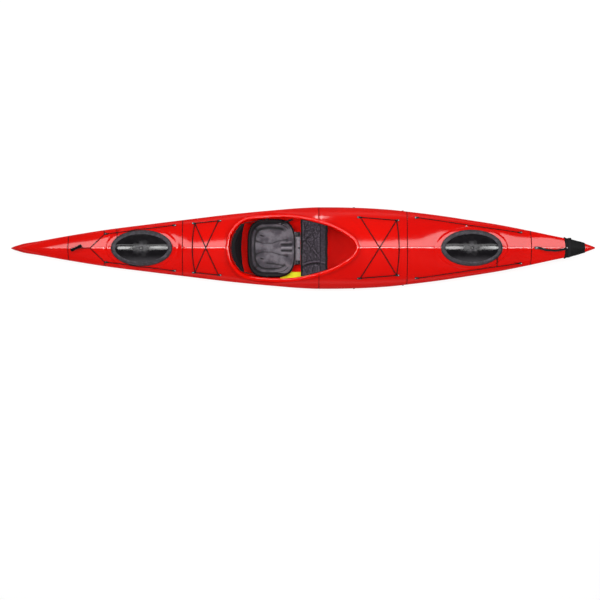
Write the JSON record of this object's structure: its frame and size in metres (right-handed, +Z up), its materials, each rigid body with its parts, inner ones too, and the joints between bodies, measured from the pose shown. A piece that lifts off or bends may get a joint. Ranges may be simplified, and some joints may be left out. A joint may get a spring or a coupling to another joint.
{
  "type": "sea kayak",
  "caption": "Take-apart sea kayak: nesting hull sections joined by gaskets and swing latches, oval hatches, cockpit with padded seat, foot braces, deck bungees and carrying handles.",
  "frame": {"origin": "on the centreline at half length, level with the flat underside of the keel", "axes": "+X towards the bow, +Y to port, +Z up"},
  "size_m": [4.32, 0.6066, 0.42],
  "materials": {
    "hull": "glossy red moulded polyethylene, slightly mottled",
    "gasket": "matte black rubber",
    "foam": "dark grey closed-cell foam",
    "steel": "stainless steel",
    "lid": "black moulded rubber, glossier in the middle than at the band",
    "rim": "black plastic",
    "pad": "grey padded fabric with sewn channels",
    "pan": "grey plastic",
    "webbing": "black webbing and padded cloth",
    "bag": "dark purple-grey coated cloth with black binding",
    "block": "yellow-green foam",
    "fittings": "black plastic",
    "cord": "black cord"
  },
  "bodies": {
    "aft_cockpit": {"aft_cockpit_section": "hull", "stern_hatch_gasket": "gasket", "cockpit_gasket": "gasket", "stern_hatch_port_latch_plate": "steel", "stern_hatch_starboard_latch_plate": "steel", "cockpit_port_latch_plate": "steel", "cockpit_starboard_latch_plate": "steel", "seat_pan": "pan", "seat_pad": "pad", "cockpit_bag": "bag", "foam_block": "block", "aft_deck_bungee": "cord"},
    "forward_cockpit": {"forward_cockpit_section": "hull", "bow_hatch_gasket": "gasket", "bow_hatch_port_latch_plate": "steel", "bow_hatch_starboard_latch_plate": "steel", "port_foot_rail": "fittings", "starboard_foot_rail": "fittings", "foredeck_bungee": "cord"},
    "bow_hatch": {"bow_hatch_section": "hull", "bow_end_gasket": "gasket", "bow_end_port_latch_plate": "steel", "bow_end_starboard_latch_plate": "steel", "bow_hatch_bulkhead": "foam", "bow_hatch_rim": "rim", "port_bow_line": "cord", "starboard_bow_line": "cord"},
    "bow_end": {"bow_end_section": "hull", "bow_sleeve": "webbing", "bow_handle": "webbing", "bow_handle_plate": "steel"},
    "stern_hatch": {"stern_hatch_section": "hull", "stern_end_gasket": "gasket", "stern_end_port_latch_plate": "steel", "stern_end_starboard_latch_plate": "steel", "stern_hatch_bulkhead": "foam", "stern_hatch_rim": "rim", "stern_deck_lines": "cord"},
    "stern_end": {"stern_end_section": "hull"},
    "stern_cover": {"stern_hatch_cover": "lid", "stern_cover_tether": "cord"},
    "bow_cover": {"bow_hatch_cover": "lid", "bow_cover_tether": "cord"},
    "back_band": {"back_band": "webbing", "port_back_strap": "webbing", "starboard_back_strap": "webbing"},
    "port_pedal": {"port_foot_pedal": "fittings"},
    "starboard_pedal": {"starboard_foot_pedal": "fittings"},
    "toggle": {"stern_toggle": "fittings"},
    "stern_end_port_lever": {"stern_end_port_latch_lever": "steel"},
    "stern_end_starboard_lever": {"stern_end_starboard_latch_lever": "steel"},
    "stern_hatch_port_lever": {"stern_hatch_port_latch_lever": "steel"},
    "stern_hatch_starboard_lever": {"stern_hatch_starboard_latch_lever": "steel"},
    "cockpit_port_lever": {"cockpit_port_latch_lever": "steel"},
    "cockpit_starboard_lever": {"cockpit_starboard_latch_lever": "steel"},
    "bow_hatch_port_lever": {"bow_hatch_port_latch_lever": "steel"},
    "bow_hatch_starboard_lever": {"bow_hatch_starboard_latch_lever": "steel"},
    "bow_end_port_lever": {"bow_end_port_latch_lever": "steel"},
    "bow_end_starboard_lever": {"bow_end_starboard_latch_lever": "steel"}
  },
  "joints": [
    {"name": "stern_end_joint", "type": "slide", "parent": "stern_hatch", "child": "stern_end", "axis": [-1, 0, 0], "range_m": [0, 0.08]},
    {"name": "stern_hatch_joint", "type": "slide", "parent": "aft_cockpit", "child": "stern_hatch", "axis": [-1, 0, 0], "range_m": [0, 0.08]},
    {"name": "cockpit_joint", "type": "slide", "parent": "aft_cockpit", "child": "forward_cockpit", "axis": [1, 0, 0], "range_m": [0, 0.08]},
    {"name": "bow_hatch_joint", "type": "slide", "parent": "forward_cockpit", "child": "bow_hatch", "axis": [1, 0, 0], "range_m": [0, 0.08]},
    {"name": "bow_end_joint", "type": "slide", "parent": "bow_hatch", "child": "bow_end", "axis": [1, 0, 0], "range_m": [0, 0.08]},
    {"name": "stern_end_port_latch", "type": "hinge", "parent": "stern_hatch", "child": "stern_end_port_lever", "pos_m": [-1.70467, 0.06853, 0.07025], "axis": [0, 0.2277, 0.9737], "range_deg": [0, 100]},
    {"name": "stern_end_starboard_latch", "type": "hinge", "parent": "stern_hatch", "child": "stern_end_starboard_lever", "pos_m": [-1.70467, -0.06853, 0.07025], "axis": [0, 0.2277, -0.9737], "range_deg": [0, 100]},
    {"name": "stern_hatch_port_latch", "type": "hinge", "parent": "aft_cockpit", "child": "stern_hatch_port_lever", "pos_m": [-0.87258, 0.17515, 0.08454], "axis": [0, 0.3769, 0.9263], "range_deg": [0, 100]},
    {"name": "stern_hatch_starboard_latch", "type": "hinge", "parent": "aft_cockpit", "child": "stern_hatch_starboard_lever", "pos_m": [-0.87258, -0.17515, 0.08454], "axis": [0, 0.3769, -0.9263], "range_deg": [0, 100]},
    {"name": "cockpit_port_latch", "type": "hinge", "parent": "aft_cockpit", "child": "cockpit_port_lever", "pos_m": [0.11223, 0.26103, 0.09243], "axis": [0, -0.5349, -0.8449], "range_deg": [0, 100]},
    {"name": "cockpit_starboard_latch", "type": "hinge", "parent": "aft_cockpit", "child": "cockpit_starboard_lever", "pos_m": [0.11223, -0.26103, 0.09243], "axis": [0, -0.5349, 0.8449], "range_deg": [0, 100]},
    {"name": "bow_hatch_port_latch", "type": "hinge", "parent": "forward_cockpit", "child": "bow_hatch_port_lever", "pos_m": [0.76228, 0.23331, 0.09322], "axis": [0, -0.4854, -0.8743], "range_deg": [0, 100]},
    {"name": "bow_hatch_starboard_latch", "type": "hinge", "parent": "forward_cockpit", "child": "bow_hatch_starboard_lever", "pos_m": [0.76228, -0.23331, 0.09322], "axis": [0, -0.4854, 0.8743], "range_deg": [0, 100]},
    {"name": "bow_end_port_latch", "type": "hinge", "parent": "bow_hatch", "child": "bow_end_port_lever", "pos_m": [1.65751, 0.10092, 0.13503], "axis": [0, -0.306, -0.952], "range_deg": [0, 100]},
    {"name": "bow_end_starboard_latch", "type": "hinge", "parent": "bow_hatch", "child": "bow_end_starboard_lever", "pos_m": [1.65751, -0.10092, 0.13503], "axis": [0, -0.306, 0.952], "range_deg": [0, 100]},
    {"name": "stern_cover_lift", "type": "slide", "parent": "stern_hatch", "child": "stern_cover", "axis": [0, 0, 1], "range_m": [0, 0.06]},
    {"name": "bow_cover_lift", "type": "slide", "parent": "bow_hatch", "child": "bow_cover", "axis": [0, 0, 1], "range_m": [0, 0.06]},
    {"name": "back_band_tilt", "type": "hinge", "parent": "aft_cockpit", "child": "back_band", "pos_m": [-0.262, 0, 0.226], "axis": [0, 1, 0], "range_deg": [0, 55]},
    {"name": "port_pedal_slide", "type": "slide", "parent": "forward_cockpit", "child": "port_pedal", "axis": [0.9977, -0.0676, 0], "range_m": [-0.13, 0.13]},
    {"name": "starboard_pedal_slide", "type": "slide", "parent": "forward_cockpit", "child": "starboard_pedal", "axis": [0.9977, 0.0676, 0], "range_m": [-0.13, 0.13]},
    {"name": "toggle_lift", "type": "hinge", "parent": "stern_hatch", "child": "toggle", "pos_m": [-1.571, 0, 0.205], "axis": [0, 1, 0], "range_deg": [0, 70]}
  ],
  "couplings": [
    {"joint": "stern_end_port_latch", "follows": "stern_end_joint", "rad_per_m": 21.8},
    {"joint": "stern_end_starboard_latch", "follows": "stern_end_joint", "rad_per_m": 21.8},
    {"joint": "stern_hatch_port_latch", "follows": "stern_hatch_joint", "rad_per_m": 21.8},
    {"joint": "stern_hatch_starboard_latch", "follows": "stern_hatch_joint", "rad_per_m": 21.8},
    {"joint": "cockpit_port_latch", "follows": "cockpit_joint", "rad_per_m": 21.8},
    {"joint": "cockpit_starboard_latch", "follows": "cockpit_joint", "rad_per_m": 21.8},
    {"joint": "bow_hatch_port_latch", "follows": "bow_hatch_joint", "rad_per_m": 21.8},
    {"joint": "bow_hatch_starboard_latch", "follows": "bow_hatch_joint", "rad_per_m": 21.8},
    {"joint": "bow_end_port_latch", "follows": "bow_end_joint", "rad_per_m": 21.8},
    {"joint": "bow_end_starboard_latch", "follows": "bow_end_joint", "rad_per_m": 21.8}
  ]
}
